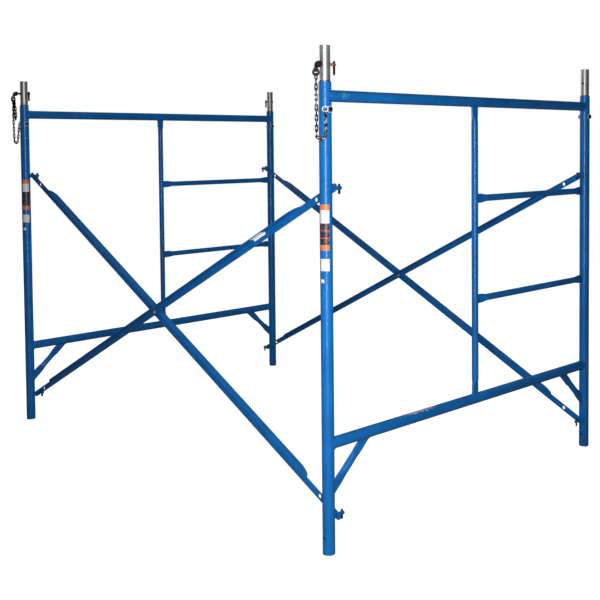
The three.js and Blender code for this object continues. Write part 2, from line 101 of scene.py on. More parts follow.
BRACE_SPARE_HOLE = 90 * MM
BRACE_END = 19 * MM
COPE_START = 170 * MM
COPE_LENGTH = 52 * MM
TOGGLE_RADIUS = 4.7 * MM
TOGGLE_GAP = 0.3 * MM
TOGGLE_SLOT, TOGGLE_LEVER_PIVOT, TOGGLE_TIP = 25.5 * MM, 40.5 * MM, 46 * MM
PLAIN_TOGGLE_SLOT, PLAIN_TOGGLE_PIVOT, PLAIN_TOGGLE_TIP = 16 * MM, 30 * MM, 35.5 * MM
FAR_TOGGLE_PULLED = 15.5 * MM
EYE = Vector((-38, 0, -18.2)) * MM
EYE_RADIUS = 8.4 * MM
EYE_HOLE_RADIUS = 4.6 * MM
RING_RADIUS = 8.7 * MM
RING_WIRE = 3.8 * MM
RING_TURN = math.radians(35)
LINK_LENGTH = 25 * MM
LINK_WIDTH = 11.6 * MM
LINK_WIRE = 2.3 * MM
CHAIN_STEP = 0.5 * MM

LABEL_INSIDE = 0.02 * MM
LABEL_OUTSIDE = 0.18 * MM
STICKER_AT = 384 * MM
STICKER_LENGTH = 70 * MM
STICKER_OUTER = 24.5 * MM
STICKER_LOW = 2.5 * MM
STICKER_THICKNESS = 0.16 * MM

ENDS = ("near", "far")
SIDES = ("left", "right")
INWARD = {"left": 1, "right": -1}

X_AXIS = Vector((1, 0, 0))
Y_AXIS = Vector((0, 1, 0))
Z_AXIS = Vector((0, 0, 1))


def mm(*rows):
    """Rows of millimetres as rows of metres."""
    return [tuple(value * MM for value in row) for row in rows]


def middle(node):
    """The centre of a CAD node's box."""
    low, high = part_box(node)
    return (low + high) / 2


def leg_axis(end, side):
    """A leg's centre line, at floor level."""
    centre = middle(f"leg_{end}_{side}")
    return Vector((centre.x, centre.y, 0))


# ---- camera

CAMERA_PLACE = Vector((-2.7558, -3.2465, 1.3240))
CAMERA_YAW = math.radians(44.17)
CAMERA_PITCH = math.radians(-2.5)
CAMERA_ROLL = math.radians(-0.443)
CAMERA_LENS = 55.9
CAMERA_SHIFT = (-0.082, -0.1915)


def add_camera():
    data = bpy.data.cameras.new("camera")
    data.lens = CAMERA_LENS
    data.sensor_width = 36
    data.shift_x, data.shift_y = CAMERA_SHIFT
    camera = bpy.data.objects.new("camera", data)
    camera.matrix_world = (
        Matrix.Translation(CAMERA_PLACE)
        @ Matrix.Rotation(-CAMERA_YAW, 4, "Z")
        @ Matrix.Rotation(math.pi / 2 + CAMERA_PITCH, 4, "X")
        @ Matrix.Rotation(CAMERA_ROLL, 4, "Z")
    )
    bpy.context.scene.collection.objects.link(camera)
    bpy.context.scene.camera = camera


# ---- node helpers


class Shader:
    """A small wrapper that makes node graphs short to write."""

    def __init__(self, name):
        self.material = bpy.data.materials.new(name)
        self.material.use_nodes = True
        self.tree = self.material.node_tree
        self.bsdf = self.tree.nodes["Principled BSDF"]
        self.place = self.add("ShaderNodeTexCoord").outputs["Object"]

    def add(self, kind, inputs=None, **values):
        """A new node with its attributes set and its inputs fed from outputs or constants."""
        node = self.tree.nodes.new(kind)
        for key, value in values.items():
            setattr(node, key, value)
        for key, value in (inputs or {}).items():
            self.feed(node.inputs[key], value)
        return node

    def feed(self, socket, value):
        """Links an output to a socket, or sets the socket to a constant."""
        if isinstance(value, bpy.types.NodeSocket):
            self.tree.links.new(value, socket)
        else:
            socket.default_value = (*value, 1) if socket.type == "RGBA" else value

    def noise(self, scale, detail=4, roughness=0.55, stretch=None, distortion=0.0):
        """A noise texture's value, at features per metre. stretch scales its three axes."""
        place = self.place
        if stretch:
            mapping = self.add("ShaderNodeMapping", {"Vector": place, "Scale": stretch})
            place = mapping.outputs["Vector"]
        node = self.add("ShaderNodeTexNoise", {
            "Vector": place, "Scale": scale, "Detail": detail, "Roughness": roughness,
            "Distortion": distortion,
        })
        return node.outputs["Fac"]

    def ramp(self, value, stops, smooth=True):
        """A colour ramp over a value. stops are (position, colour or grey)."""
        node = self.add("ShaderNodeValToRGB", {"Fac": value})
        node.color_ramp.interpolation = "LINEAR" if smooth else "CONSTANT"
        elements = node.color_ramp.elements
        while len(elements) < len(stops):
            elements.new(0.5)
        for element, (position, colour) in zip(elements, stops):
            element.position = position
            channels = colour if hasattr(colour, "__len__") else (colour,) * 3
            element.color = (*channels, 1)
        return node.outputs["Color"]

    def mix(self, factor, first, second):
        """Mixes two colours, each an output or a constant, by a factor."""
        node = self.add("ShaderNodeMix", data_type="RGBA")
        for key, value in (("Factor", factor), ("A", first), ("B", second)):
            self.feed(node.inputs[key], value)
        return node.outputs["Result"]

    def maths(self, operation, *values):
        node = self.add("ShaderNodeMath", dict(enumerate(values)), operation=operation)
        return node.outputs["Value"]

    def patch(self, centre, reach, facing, amount):
        """A ragged mask that fades out at a distance from a place, on faces turned one way."""
        normal = self.add("ShaderNodeTexCoord").outputs["Normal"]
        away = self.add("ShaderNodeVectorMath", {0: self.place, 1: centre}, operation="DISTANCE")
        faced = self.add("ShaderNodeVectorMath", {0: normal, 1: facing}, operation="DOT_PRODUCT")
        near = self.maths("SUBTRACT", 1.0, self.maths("DIVIDE", away.outputs["Value"], reach))
        turn = self.maths("MAXIMUM", faced.outputs["Value"], 0.0)
        shown = self.maths("MULTIPLY", turn, near)
        ragged = self.maths("MULTIPLY", shown, self.noise(85, 6, 0.75))
        return self.ramp(ragged, [(0.33, 0.0), (0.42, amount)])

    def axis(self, name):
        """One coordinate of the place, in metres."""
        return self.add("ShaderNodeSeparateXYZ", {"Vector": self.place}).outputs[name]

    def bump(self, height, strength, distance):
        """Adds a bump on top of those that are already there."""
        inputs = {"Strength": strength, "Distance": distance, "Height": height}
        normal = self.bsdf.inputs["Normal"]
        if normal.is_linked:
            inputs["Normal"] = normal.links[0].from_socket
        self.feed(normal, self.add("ShaderNodeBump", inputs).outputs["Normal"])

    def set(self, **values):
        """Sets the Principled shader's sockets, from outputs or constants."""
        for key, value in values.items():
            self.feed(self.bsdf.inputs[key.replace("_", " ")], value)
        return self.material


# ---- materials


def blue_paint(name, wear, dirt, rubbed=()):
    """Gloss blue enamel on steel: uneven coat, scratches down to dull metal and grime. rubbed
    lists the places worn through: (centre, reach, the way they face, colour, how much)."""
    s = Shader(name)
    tone = s.ramp(s.noise(9, 3), [(0.3, (0.003, 0.105, 0.35)), (0.7, (0.005, 0.138, 0.44))])
    streaks = s.ramp(s.noise(40, 4, 0.6, stretch=(1, 1, 0.12)), [(0.45, 0.0), (0.8, 0.35)])
    tone = s.mix(streaks, tone, (0.018, 0.18, 0.49))
    scratches = s.noise(75, 6, 0.75, stretch=(1, 1, 0.3), distortion=0.6)
    worn = s.maths("MULTIPLY", scratches, s.noise(6, 2))
    bare = s.ramp(worn, [(0.41 - wear, 0.0), (0.43 - wear, 1.0)])
    colour = s.mix(bare, tone, (0.08, 0.15, 0.26))
    spots = s.ramp(s.noise(48, 5, 0.7), [(0.76, 0.0), (0.80, 1.0)])
    colour = s.mix(spots, colour, (0.06, 0.035, 0.025))
    grime = s.ramp(s.noise(5, 5, 0.65), [(0.5, 0.0), (0.85, dirt)])
    colour = s.mix(grime, colour, (0.018, 0.036, 0.07))
    for centre, reach, facing, shade, amount in rubbed:
        colour = s.mix(s.patch(centre, reach, facing, amount), colour, shade)
    rough = s.ramp(s.noise(25, 4), [(0.3, 0.30), (0.7, 0.42)])
    rough = s.mix(bare, rough, (0.6, 0.6, 0.6))
    s.bump(s.noise(420, 2), 0.12, 0.0003)
    s.bump(bare, 0.25, -0.0002)
    return s.set(
        Base_Color=colour, Roughness=rough, Metallic=0.0, Specular_IOR_Level=0.22,
        Coat_Weight=0.15, Coat_Roughness=0.10,
    )


def zinc_plate(name, dull, rust_band=None):
    """Zinc on drawn tube: fine lines along it, clouded patches, brown spots. rust_band is
    the heights between which brown has crept up from a joint."""
    s = Shader(name)
    clouds = s.noise(28, 4)
    colour = s.ramp(clouds, [(0.3, (0.33, 0.325, 0.325)), (0.7, (0.47, 0.46, 0.465))])
    spots = s.ramp(s.noise(90, 5, 0.7), [(0.68 - dull, 0.0), (0.76 - dull, 1.0)])
    colour = s.mix(spots, colour, (0.2, 0.15, 0.12))
    if rust_band:
        low, high = rust_band
        fade = s.maths("DIVIDE", s.maths("SUBTRACT", high, s.axis("Z")), high - low)
        ragged = s.maths("ADD", fade, s.maths("MULTIPLY", s.noise(110, 4), 0.9))
        brown = s.ramp(ragged, [(0.85, 0.0), (1.0, 0.85)])
        colour = s.mix(brown, colour, (0.16, 0.085, 0.05))
    rough = s.ramp(clouds, [(0.3, 0.41 + dull), (0.7, 0.51 + dull)])
    s.bump(s.noise(300, 3, stretch=(1, 1, 0.05)), 0.25, 0.0004)
    return s.set(Base_Color=colour, Roughness=rough, Metallic=0.8)


def mottled(name, grain, stops, rough, grit, metallic):
    """A finish clouded by one noise: its colour, and its roughness where that is a ramp, follow
    it. grain is the noise's arguments, and grit the bump's: (scale, detail, strength, depth)."""
    s = Shader(name)
    clouds = s.noise(*grain)
    s.bump(s.noise(*grit[:2]), *grit[2:])
    if isinstance(rough, list):
        rough = s.ramp(clouds, rough)
    return s.set(Base_Color=s.ramp(clouds, stops), Roughness=rough, Metallic=metallic)


def chain_steel(name, dark, light):
    """Tarnished steel: rubbed light on its faces, dark brown in the joints."""
    rough = [(0.4, 0.55), (0.65, 0.22)]
    stops = [(0.52, dark), (0.66, light)]
    return mottled(name, (60, 5, 0.7), stops, rough, (500, 3, 0.3, 0.0003), 0.8)


def label_print(name, bands):
    """A printed vinyl label: bands of colour up its height, faded and scuffed."""
    s = Shader(name)
    low, high = bands[0][0], bands[-1][1]
    height = s.maths("DIVIDE", s.maths("SUBTRACT", s.axis("Z"), low), high - low)
    stops = [((bottom - low) / (high - low), colour) for bottom, _, colour in bands]
    colour = s.ramp(height, stops, smooth=False)
    scuffs = s.ramp(s.noise(130, 6, 0.75), [(0.60, 0.0), (0.66, 1.0)])
    colour = s.mix(scuffs, colour, (0.16, 0.2, 0.3))
    flecks = s.ramp(s.noise(190, 3, 0.6, distortion=0.8), [(0.57, 0.0), (0.62, 0.55)])
    colour = s.mix(flecks, colour, (0.42, 0.10, 0.05))
    s.bump(s.noise(260, 3), 0.2, 0.0002)
    return s.set(Base_Color=colour, Roughness=0.42, Metallic=0.0)


RUBBED_FRAME = [
    ((-0.30, -1.065, 0.364), 0.30, (0, 0.12, 0.99), (0.52, 0.43, 0.42), 0.8),
    ((-0.675, -1.086, 1.482), 0.075, (0, -1, 0), (0.07, 0.27, 0.45), 0.5),
]
RUBBED_BRACES = [
    ((0.77, 0.83, 1.078), 0.15, (0, -0.45, 0.89), (0.20, 0.12, 0.08), 0.9),
    ((0.77, -0.1, 0.69), 0.10, (0, 0.45, 0.89), (0.34, 0.29, 0.27), 0.8),
]
PAINT = blue_paint("blue_paint_frame", wear=0.0, dirt=0.35, rubbed=RUBBED_FRAME)
BRACE_PAINT = blue_paint("blue_paint_brace", wear=0.01, dirt=0.5, rubbed=RUBBED_BRACES)
ZINC = zinc_plate("zinc_tube", dull=0.0, rust_band=(1520 * MM, 1534 * MM))
RIVET_ZINC = zinc_plate("zinc_rivet", dull=0.03)
BOLT_STEEL = chain_steel("bolt_steel_tarnished", (0.035, 0.030, 0.028), (0.30, 0.28, 0.27))
# Black forged steel, brown with rust in patches.
DARK = mottled(
    "dark_forged_steel", (55, 6, 0.7),
    [(0.35, (0.012, 0.011, 0.012)), (0.55, (0.035, 0.022, 0.017)), (0.70, (0.12, 0.05, 0.025))],
    [(0.35, 0.38), (0.6, 0.75)], (240, 5, 0.5, 0.0006), 0.55,
)
# The shank of a toggle pin, where the plating has gone to bright orange-brown rust.
COPPER = mottled(
    "rusted_shank", (80, 5, 0.65), [(0.35, (0.30, 0.10, 0.04)), (0.65, (0.55, 0.24, 0.12))],
    0.55, (350, 4, 0.4, 0.0004), 0.4,
)
CHAINS = {
    "near": chain_steel("tarnished_chain_near", (0.014, 0.011, 0.010), (0.58, 0.56, 0.56)),
    "far": chain_steel("tarnished_chain_far", (0.025, 0.018, 0.014), (0.30, 0.25, 0.20)),
}
# Fresh matt plating with a little grey in its hollows. Its near white is partly painted highlight:
# it stands for the highlight that the light puts on the small eyelet and washers.
PALE_ZINC_AND_HIGHLIGHT = mottled(
    "zinc_eyelet_and_painted_highlight", (150, 4), [(0.35, (0.45, 0.46, 0.48)), (0.6, (0.80, 0.81, 0.83))],
    0.45, (600, 2, 0.2, 0.0002), 0.35,
)
# A silver foil sticker, clouded grey where it is scuffed.
FOIL = mottled(
    "foil_sticker", (110, 5, 0.7), [(0.34, (0.55, 0.57, 0.60)), (0.46, (0.95, 0.95, 0.96))],
    0.45, (300, 3, 0.2, 0.0002), 0.0,
)

# ---- mesh helpers


def raw_object(name, points, faces):
    """An object made of the points and faces, with its faces turned outwards."""
    mesh = bpy.data.meshes.new(name)
    mesh.from_pydata([tuple(p) for p in points], [], faces)
    shape = bmesh.new()
    shape.from_mesh(mesh)
    bmesh.ops.recalc_face_normals(shape, faces=shape.faces)
    shape.to_mesh(mesh)
    shape.free()
    piece = bpy.data.objects.new(name, mesh)
    bpy.context.scene.collection.objects.link(piece)
    return piece


def apply_modifiers(piece):
    """Turns a piece's modifiers into its mesh."""
    graph = bpy.context.evaluated_depsgraph_get()
    made = bpy.data.meshes.new_from_object(piece.evaluated_get(graph))
    piece.modifiers.clear()
    old = piece.data
    piece.data = made
    bpy.data.meshes.remove(old)


def cut_with(piece, *cutters):
    """Cuts each cutter's solid out of the piece."""
    for cutter in cutters:
        change = piece.modifiers.new("cut", "BOOLEAN")
        change.operation = "DIFFERENCE"
        change.solver = "EXACT"
        change.object = cutter
    apply_modifiers(piece)
    for cutter in cutters:
        bpy.data.objects.remove(cutter)


def soften(piece, width, angle=35, segments=2):
    """Rounds a piece's hard edges."""
    change = piece.modifiers.new("soften", "BEVEL")
    change.width = width
    change.segments = segments
    change.limit_method = "ANGLE"
    change.angle_limit = math.radians(angle)
    apply_modifiers(piece)


def finish_piece(piece, body, slot, material, *nodes, sharp=38):
    """Smooths, paints and mounts a finished piece, standing for the CAD nodes named."""
    piece.data.shade_smooth()
    piece.data.set_sharp_from_angle(angle=math.radians(sharp))
    piece.data.materials.clear()
    piece.data.materials.append(material)
    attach(piece, body)
    if nodes:
        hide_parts(*nodes)
    return piece


def merge(name, pieces):
    """Joins several raw objects into one object."""
    points, faces = [], []
    for piece in pieces:
        start = len(points)
        points += [piece.matrix_world @ v.co for v in piece.data.vertices]
        faces += [[start + i for i in face.vertices] for face in piece.data.polygons]
        bpy.data.objects.remove(piece)
    return raw_object(name, points, faces)


def loft(name, rings, closed=False):
    """A skin over rings of points, capped at both ends unless it closes on itself."""
    count = len(rings[0])
    faces = []
    for i in range(len(rings) if closed else len(rings) - 1):
        a, b = i * count, ((i + 1) % len(rings)) * count
        for j in range(count):
            k = (j + 1) % count
            faces.append((a + j, a + k, b + k, b + j))
    if not closed:
        faces.append(tuple(range(count))[::-1])
        faces.append(tuple(range((len(rings) - 1) * count, len(rings) * count)))
    return raw_object(name, [p for ring in rings for p in ring], faces)


def circle(centre, u, v, radius, count):
    turns = [2 * math.pi * i / count for i in range(count)]
    return [centre + u * (radius * math.cos(a)) + v * (radius * math.sin(a)) for a in turns]


def across(direction, hint=None):
    """Two unit vectors square to a direction, the first as near as can be to the hint."""
    d = direction.normalized()
    if hint is None:
        hint = X_AXIS if abs(d.x) < 0.8 else Z_AXIS
    u = (hint - d * hint.dot(d)).normalized()
    return u, d.cross(u)


def turned(name, start, direction, profile, count=32):
    """A solid turned about an axis: profile is a list of (distance along, radius)."""
    u, v = across(direction)
    d = direction.normalized()
    rings = [circle(start + d * along, u, v, radius, count) for along, radius in profile]
    return loft(name, rings)


def rod(name, start, end, radius, count=24):
    return turned(name, start, end - start, [(0, radius), ((end - start).length, radius)], count)


def tube(name, start, end, radius, wall, count=64, rim=0.5 * MM):
    """An open tube with slightly rounded rims."""
    d = (end - start).normalized()
    u, v = across(d)
    inner = radius - wall
    length = (end - start).length
    section = [
        (rim, radius), (length - rim, radius), (length, radius - rim), (length, inner + rim),
        (length - rim, inner), (rim, inner), (0, inner + rim), (0, radius - rim),
    ]
    rings = [circle(start + d * along, u, v, size, count) for along, size in section]
    return loft(name, rings, closed=True)


def swept(name, path, radius, count=8, closed=False, hint=None):
    """A round rod along a list of points. radius is a number or a list, one per point."""
    path = [Vector(p) for p in path]
    sizes = radius if hasattr(radius, "__len__") else [radius] * len(path)
    last = len(path) - 1
    rings = []
    u = None
    for i, point in enumerate(path):
        ahead = path[(i + 1) % len(path)] if closed else path[min(i + 1, last)]
        behind = path[i - 1] if closed or i > 0 else path[0]
        u, v = across(ahead - behind, u if u is not None else hint)
        rings.append(circle(point, u, v, sizes[i], count))
    return loft(name, rings, closed)


def resample(points, step, closed=False):
    """Points at equal distances along a line through the given ones."""
    line = np.array([list(p) for p in points] + ([list(points[0])] if closed else []))
    run = np.concatenate([[0], np.cumsum(np.linalg.norm(np.diff(line, axis=0), axis=1))])
    count = max(int(round(run[-1] / step)), 3)
    at = np.linspace(0, run[-1], count + 1)
    if closed:
        at = at[:-1]
    return [Vector([np.interp(a, run, line[:, k]) for k in range(3)]) for a in at]


def smooth_path(points, steps):
    """A Catmull-Rom curve through the points, as a list of points."""
    points = [Vector(p) for p in points]
    ends = [points[0] * 2 - points[1], *points, points[-1] * 2 - points[-2]]
    made = []
    for i in range(1, len(ends) - 2):
        a, b, c, d = ends[i - 1], ends[i], ends[i + 1], ends[i + 2]
        for k in range(steps):
            t = k / steps
            made.append(0.5 * (
                2 * b + (c - a) * t + (2 * a - 5 * b + 4 * c - d) * t * t
                + (3 * b - a - 3 * c + d) * t ** 3
            ))
    return made + [points[-1]]


# ---- chains, the free cords

# Each route is measured from the leg's axis and from the floor, as the CAD chain's is.
CHAIN_ROUTES = {
    "near": [
        (-38, 0, 1546), (-39, -1, 1490), (-39, -1.5, 1430), (-38.5, -1.5, 1390),
        (-38.5, -1.5, 1357), (-35.4, -4.3, 1347), (-28, -11, 1343), (-20.6, -17.7, 1347),
        (-17.5, -20.5, 1357), (-17, -21.5, 1395), (-17, -20.5, 1431),
    ],
    "far": [
        (-54, 0, 1546), (-54, 1, 1500), (-52, 4, 1430), (-49.5, 7, 1385), (-48, 8, 1358),
        (-44.5, 10.1, 1348), (-36, 15.2, 1344), (-27.5, 20.3, 1348), (-24, 22.4, 1358),
        (-20, 22.5, 1398), (-17, 20.5, 1431),
    ],
}
# The far chain's spare length, doubled back onto its ring.
BIGHT_ROUTE = [
    (-50, 3, 1544), (-48, 10, 1508), (-44.5, 8, 1472), (-43.5, 0, 1456),
    (-44.5, -8, 1472), (-48, -10, 1508), (-50, -3, 1544),
]


def oval(centre, along, wide, length, width, count=14):
    """A link's centre line: two half circles joined by straights."""
    radius = width / 2
    straight = length / 2 - radius
    points = []
    for sign, start in ((1, -90), (-1, 90)):
        for k in range(count // 2):
            a = math.radians(start + 180 * k / (count // 2 - 1))
            reach = sign * straight + radius * math.cos(a)
            points.append(centre + along * reach + wide * (radius * math.sin(a)))
    return points


def chain_links(name, path, length, width, wire):
    """Links strung along a path, each turned a quarter turn from the one before."""
    run = resample(path, CHAIN_STEP)
    count = round((len(run) - 1) * CHAIN_STEP / (length - 4 * wire))
    pitch = (len(run) - 1) / count
    links = []
    hint = Y_AXIS
    for i in range(count):
        middle_at = round((i + 0.5) * pitch)
        low, high = max(middle_at - 10, 0), min(middle_at + 10, len(run) - 1)
        along = (run[high] - run[low]).normalized()
        u, v = across(along, hint)
        hint = u
        wide = (u + v).normalized() if i % 2 else (u - v).normalized()
        line = oval(run[middle_at], along, wide, length - 2 * wire, width - 2 * wire)
        links.append(swept("link", line, wire, 8, closed=True))
    return merge(name, links)


def chain_path(end, route):
    axis = leg_axis(end, "left")
    return smooth_path([axis + Vector(p) * MM for p in route], 4)


def add_chain(end):
    path = chain_path(end, CHAIN_ROUTES[end])
    chain = chain_links(f"chain_links_{end}", path, LINK_LENGTH, LINK_WIDTH, LINK_WIRE)
    chain.data.shade_smooth()
    chain.data.materials.append(CHAINS[end])
    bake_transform(chain)
    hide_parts(f"chain_{end}_left")
    spare = [add_bight()] if end == "far" else []


def add_bight():
    """The doubled length of chain that hangs from the far pin's ring."""
    path = chain_path("far", BIGHT_ROUTE)
    bight = chain_links("chain_bight_far", path, LINK_LENGTH, LINK_WIDTH, LINK_WIRE)
    return finish_piece(bight, "toggle_pin_far_left", "chain_steel", CHAINS["far"])


# ---- tubes that meet tubes


def outline(radius, half_width, half_thickness, pressed, count=48):
    """The section of a tube, between round and pressed flat, as (wide, thin) pairs."""
    flat = half_width - half_thickness
    dense = []
    for k in range(count * 4):
        a = 2 * math.pi * k / (count * 4)
        side = max(-1.0, min(1.0, math.cos(a) * 3))
        wide = flat * side + half_thickness * math.cos(a)
        dense.append((wide, half_thickness * math.sin(a), 0))
    around = sum(math.dist(a, b) for a, b in zip(dense, dense[1:] + dense[:1]))
    stadium = resample(dense, around / count, closed=True)[:count]
    section = []
    for k, point in enumerate(stadium):
        a = 2 * math.pi * k / count
        wide = (1 - pressed) * radius * math.cos(a) + pressed * point.x
        thin = (1 - pressed) * radius * math.sin(a) + pressed * point.y
        section.append((wide, thin))
    return section


def meet(point, direction, mate, outward):
    """Where a line from the point along the direction crosses a mate's skin.
    mate is (point on its axis, axis, radius). The far crossing is taken if outward."""
    base, axis, radius = mate
    off = point - base
    off -= axis * off.dot(axis)
    run = direction - axis * direction.dot(axis)
    a, b, c = run.dot(run), 2 * off.dot(run), off.dot(off) - radius ** 2
    root = math.sqrt(max(b * b - 4 * a * c, 0))
    return point + direction * ((-b + root if outward else -b - root) / (2 * a))


def stations_between(first, last, pressed):
    """Where a tube's sections stand along it, each with how far it is pressed flat."""
    if not pressed:
        inside = [(first + (last - first) * k / 12, 0.0) for k in range(1, 12)]
        return [(first + END_GAP, 0.0), *inside, (last - END_GAP, 0.0)]
    taper = [(PRESSED_LENGTH + t * PRESSED_TAPER, 1 - t * t * (3 - 2 * t)) for t in PRESSED_STEPS]
    low, high = first + taper[-1][0], last - taper[-1][0]
    return [
        (first + END_GAP, 1.0),
        *((first + run, press) for run, press in taper),
        *((low + (high - low) * k / 8, 0.0) for k in range(1, 8)),
        *((last - run, press) for run, press in reversed(taper)),
        (last - END_GAP, 1.0),
    ]


def fitted_tube(name, start, end, wide, mates, sizes, wall, pressed=True):
    """A tube from one mate's axis to the other's, its ends shaped to their skins.
    Returns the tube and the outlines of its two ends, where the welds run."""
    radius, half_width, half_thickness = sizes
    d = (end - start).normalized()
    thin = d.cross(wide)
    length = (end - start).length

    def ring(at, press, inset):
        section = outline(radius - inset, half_width - inset, half_thickness - inset, press)
        return [start + d * at + wide * w + thin * t for w, t in section]

    ends_at = []
    for mate, at, outward in ((mates[0], 0, True), (mates[1], length, False)):
        crossings = [meet(p, d, mate, outward) for p in ring(at, float(pressed), 0)]
        along = [(p - start).dot(d) for p in crossings]
        ends_at.append(max(along) if outward else min(along))
    first, last = ends_at
    stations = stations_between(first, last, pressed)
    end_press = float(pressed)
    skins = []
    for inset in (0, wall):
        skin = [[meet(p, d, mates[0], True) for p in ring(0, end_press, inset)]]
        skin += [ring(at, press, inset) for at, press in stations]
        skin.append([meet(p, d, mates[1], False) for p in ring(length, end_press, inset)])
        skins.append(skin)
    piece = loft(name, skins[0] + skins[1][::-1], closed=True)
    return piece, (skins[0][0], skins[0][-1])


def weld_bead(points, radius, seed):
    """A rippled bead of weld along a closed line."""
    path = resample(points, 1.3 * MM, closed=True)
    rng = np.random.default_rng(seed)
    slow = rng.uniform(0, 2 * math.pi, 3)
    sizes = []
    for i in range(len(path)):
        turn = 2 * math.pi * i / len(path)
        ripple = 0.12 * math.cos(2 * math.pi * i / 4)
        drift = 0.10 * math.sin(2 * turn + slow[0]) + 0.07 * math.sin(5 * turn + slow[1])
        sizes.append(radius * (1 + ripple + drift))
    return swept("bead", path, sizes, 8, closed=True)


# ---- end frames


def add_end_frame(end):
    beads = []
    legs = {side: leg_axis(end, side) for side in SIDES}
    leg_mates = {side: (legs[side], Z_AXIS, LEG_RADIUS) for side in SIDES}
    bars = {}

    def weld_in(node, start, stop, wide, mates, bar=False):
        """Fits a tube between two others and keeps the lines that its welds run along."""
        sizes, wall = (BAR_SIZES, BAR_WALL) if bar else (SLIM_SIZES, SLIM_WALL)
        piece, lines = fitted_tube(f"{node}_tube", start, stop, wide, mates, sizes, wall, not bar)
        finish_piece(piece, "scaffold", "blue_paint", PAINT, node)
        beads.extend((line, BAR_WELD if bar else SLIM_WELD) for line in lines)

    for side, axis in legs.items():
        name = f"{end}_{side}"
        leg = tube(f"leg_tube_{name}", axis, axis + Z_AXIS * LEG_HEIGHT, LEG_RADIUS, LEG_WALL)
        drill(leg, axis, LEG_RADIUS, CROSS_HOLE_OFFSET)
        finish_piece(leg, "scaffold", "blue_paint", PAINT, f"leg_{name}")
    for which in ("top", "bottom"):
        node = f"{which}_bar_{end}"
        lift = Vector((0, 0, middle(node).z))
        ends = (legs["left"] + lift, legs["right"] + lift)
        weld_in(node, *ends, Z_AXIS, (leg_mates["left"], leg_mates["right"]), bar=True)
        bars[which] = (Vector((0, legs["left"].y, lift.z)), X_AXIS, BAR_RADIUS)

    node = f"centre_post_{end}"
    post_x = middle(node).x
    low = Vector((post_x, legs["left"].y, bars["bottom"][0].z))
    high = Vector((post_x, legs["left"].y, bars["top"][0].z))
    weld_in(node, low, high, X_AXIS, (bars["bottom"], bars["top"]))

    mates = ((low, Z_AXIS, SLIM_RADIUS), leg_mates["right"])
    for which in ("upper", "lower"):
        node = f"{which}_rung_{end}"
        lift = Vector((0, 0, middle(node).z))
        weld_in(node, Vector((post_x, low.y, 0)) + lift, legs["right"] + lift, Z_AXIS, mates)

    for side in SIDES:
        foot = legs[side] + Vector((0, 0, GUSSET_LEG_Z - LEG_RADIUS))
        reach = Vector((INWARD[side] * (GUSSET_REACH + BAR_RADIUS), 0, bars["bottom"][0].z))
        head = legs[side] + reach
        wide = (head - foot).normalized().cross(Y_AXIS)
        weld_in(f"gusset_{end}_{side}", foot, head, wide, (leg_mates[side], bars["bottom"]))

    made = [weld_bead(line, size, seed) for seed, (line, size) in enumerate(beads)]
    finish_piece(merge(f"weld_beads_{end}", made), "scaffold", "blue_paint", PAINT, sharp=60)


def drill(piece, axis, radius, cross_hole_z):
    """Cuts a cross hole and a bolt hole in a tube on a leg's axis. Returns the latter's centre."""
    reach = radius + 8 * MM
    cross = axis + Z_AXIS * cross_hole_z
    bolt = axis + Z_AXIS * COUPLING_BOLT_Z
    cut_with(
        piece,
        rod("cutter", cross - X_AXIS * reach, cross + X_AXIS * reach, CROSS_HOLE_RADIUS),
        rod("cutter", bolt - Y_AXIS * reach, bolt + Y_AXIS * reach, BOLT_HOLE_RADIUS),
    )
    return bolt


# ---- coupling pins and bolts


def add_coupling(end, side):
    name = f"{end}_{side}"
    low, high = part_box(f"coupling_pin_{name}")
    axis = leg_axis(end, side)
    bottom = axis + Z_AXIS * low.z
    top = axis + Z_AXIS * high.z
    pin = tube(f"coupling_tube_{name}", bottom, top, COUPLING_RADIUS, COUPLING_WALL, rim=0.8 * MM)
    bolt_hole = drill(pin, axis, COUPLING_RADIUS, TOGGLE_Z)
    finish_piece(pin, "scaffold", "zinc", ZINC, f"coupling_pin_{name}")
    add_bolt(name, bolt_hole)


def hexagon(centre, direction, profile):
    """A hexagonal nut or head: profile is (distance along, corner radius, roundness)."""
    u, v = across(direction)
    rings = []
    for along, radius, roundness in profile:
        ring = []
        for k in range(48):
            a = 2 * math.pi * k / 48
            flat = math.cos(math.pi / 6) / math.cos((a % (math.pi / 3)) - math.pi / 6)
            size = radius * (flat * (1 - roundness) + roundness * min(flat, 0.93))
            corner = centre + direction * along + u * (size * math.cos(a))
            ring.append(corner + v * (size * math.sin(a)))
        rings.append(ring)
    return loft("hexagon", rings)


def add_bolt(name, centre):
    """Hexagon head and washer on the near side, nut, washer and thread end on the far side."""
    face, head = LEG_RADIUS, BOLT_HEAD_HEIGHT
    shank = Y_AXIS * (face + 1 * MM)
    parts = [rod("shank", centre - shank, centre + shank, BOLT_SHANK_RADIUS)]
    washers = []
    for direction in (-Y_AXIS, Y_AXIS):
        seat = centre + direction * face
        washers.append(turned("washer", seat, direction, [
            (-1.5 * MM, 7.0 * MM), (0.2 * MM, WASHER_RADIUS), (1.6 * MM, WASHER_RADIUS),
            (1.9 * MM, WASHER_RADIUS - 0.3 * MM), (1.9 * MM, 3 * MM),
        ]))
        parts.append(hexagon(seat, direction, [
            (1.8 * MM, BOLT_CORNER_RADIUS, 0), (head - 1.6 * MM, BOLT_CORNER_RADIUS, 0),
            (head - 0.8 * MM, 8.5 * MM, 1), (head - 0.3 * MM, 7.2 * MM, 1),
        ]))
    parts.append(turned("thread", centre + Y_AXIS * (face + head - 1 * MM), Y_AXIS, [
        (0, BOLT_SHANK_RADIUS), (0.9 * MM, BOLT_SHANK_RADIUS), (1.2 * MM, 3.4 * MM),
    ]))
    bolt = merge(f"bolt_and_nut_{name}", parts)
    finish_piece(bolt, "scaffold", "bolt_steel", BOLT_STEEL, f"coupling_bolt_{name}", sharp=25)
    # The washers take the near-white plating, which is partly painted highlight.
    finish_piece(merge(f"bolt_washers_{name}", washers), "scaffold", "bolt_steel", PALE_ZINC_AND_HIGHLIGHT)


